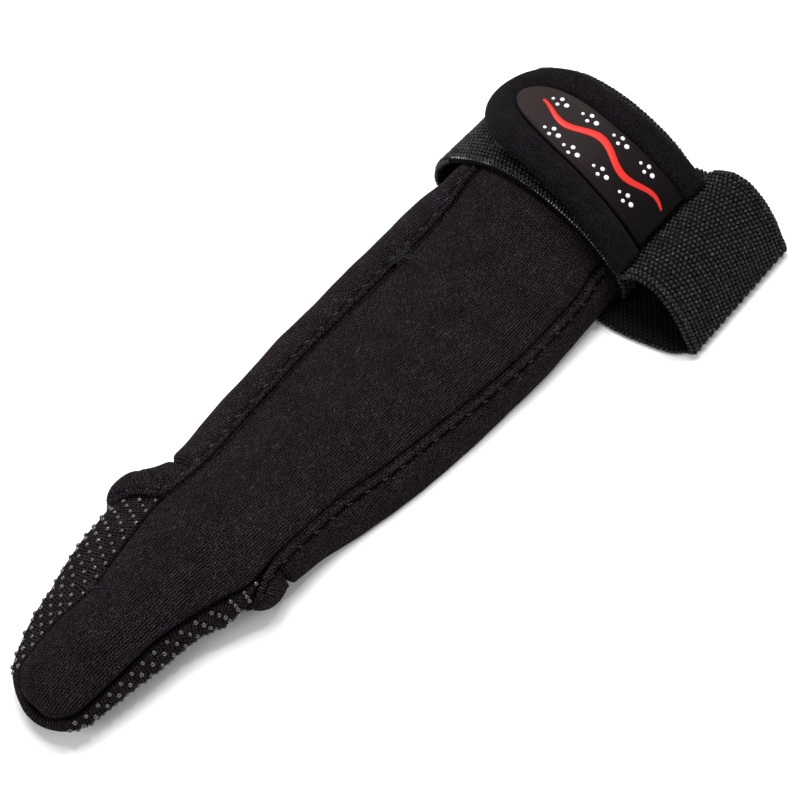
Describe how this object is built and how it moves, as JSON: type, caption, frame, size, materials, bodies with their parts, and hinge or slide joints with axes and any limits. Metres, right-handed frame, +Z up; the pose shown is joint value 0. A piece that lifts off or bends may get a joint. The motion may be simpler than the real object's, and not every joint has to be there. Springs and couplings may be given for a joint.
{
  "type": "finger guard",
  "caption": "Neoprene guard for an index finger with a closed grip pocket, a panel over the back of the hand and an elastic wrist strap with a padded hook tab.",
  "frame": {"origin": "centre of the bounding box at the surface the guard lies on", "axes": "+Z up, -X towards the fingertip, -Y towards the free loop of the strap"},
  "size_m": [0.186, 0.0724, 0.0257],
  "materials": {
    "neoprene_knit": "fine ribbed knit",
    "grip_knit": "knit with raised grip dots",
    "band_knit": "ribbed stretch knit",
    "elastic_webbing": "woven elastic",
    "padded_velour": "brushed loop pile",
    "soft_badge": "semi-gloss soft plastic",
    "hook_tape": "hook fastener"
  },
  "bodies": {
    "root": {"back_panel": "neoprene_knit", "finger_pocket": "grip_knit", "edge_band": "band_knit", "wrist_strap": "elastic_webbing", "strap_tab": "padded_velour", "tab_badge": "soft_badge", "hook_tape": "hook_tape"}
  },
  "joints": []
}
